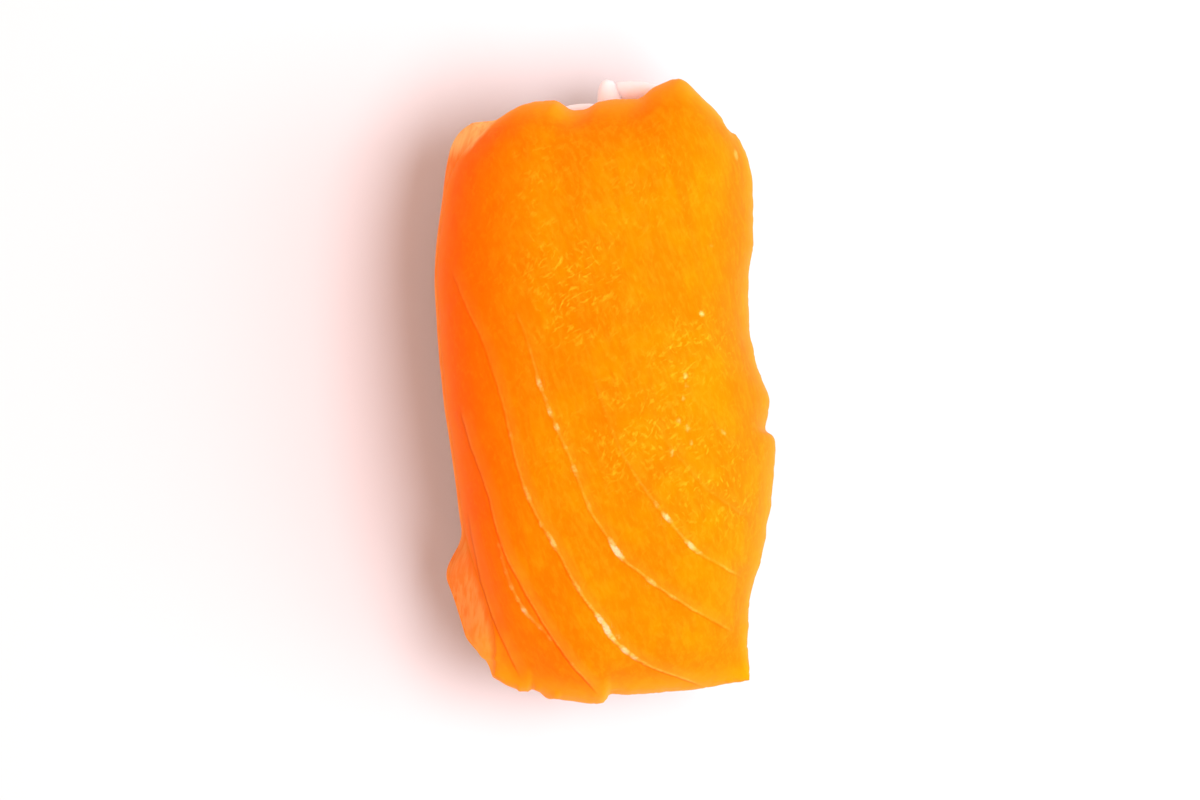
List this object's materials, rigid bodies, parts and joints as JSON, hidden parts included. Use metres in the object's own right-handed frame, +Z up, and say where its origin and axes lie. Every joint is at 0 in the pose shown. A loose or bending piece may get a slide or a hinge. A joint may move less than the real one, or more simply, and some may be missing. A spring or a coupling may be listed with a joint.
{
  "type": "salmon nigiri",
  "caption": "Salmon nigiri: a slice of raw salmon draped over a hand-pressed block of rice, to be picked up and eaten whole",
  "frame": {"origin": "Centre of the footprint, on the surface the rice stands on", "axes": "+Y along the block towards the end where rice shows past the slice, +X to the right of the block seen from above, +Z up"},
  "size_m": [0.0329, 0.0605, 0.0264],
  "materials": {
    "salmon": "moist raw orange flesh with fine pale fat lines, soft shine",
    "rice": "cooked short-grain rice, translucent white with a faint sheen"
  },
  "bodies": {
    "root": {"rice_block": "rice", "salmon_slice": "salmon"}
  },
  "joints": []
}
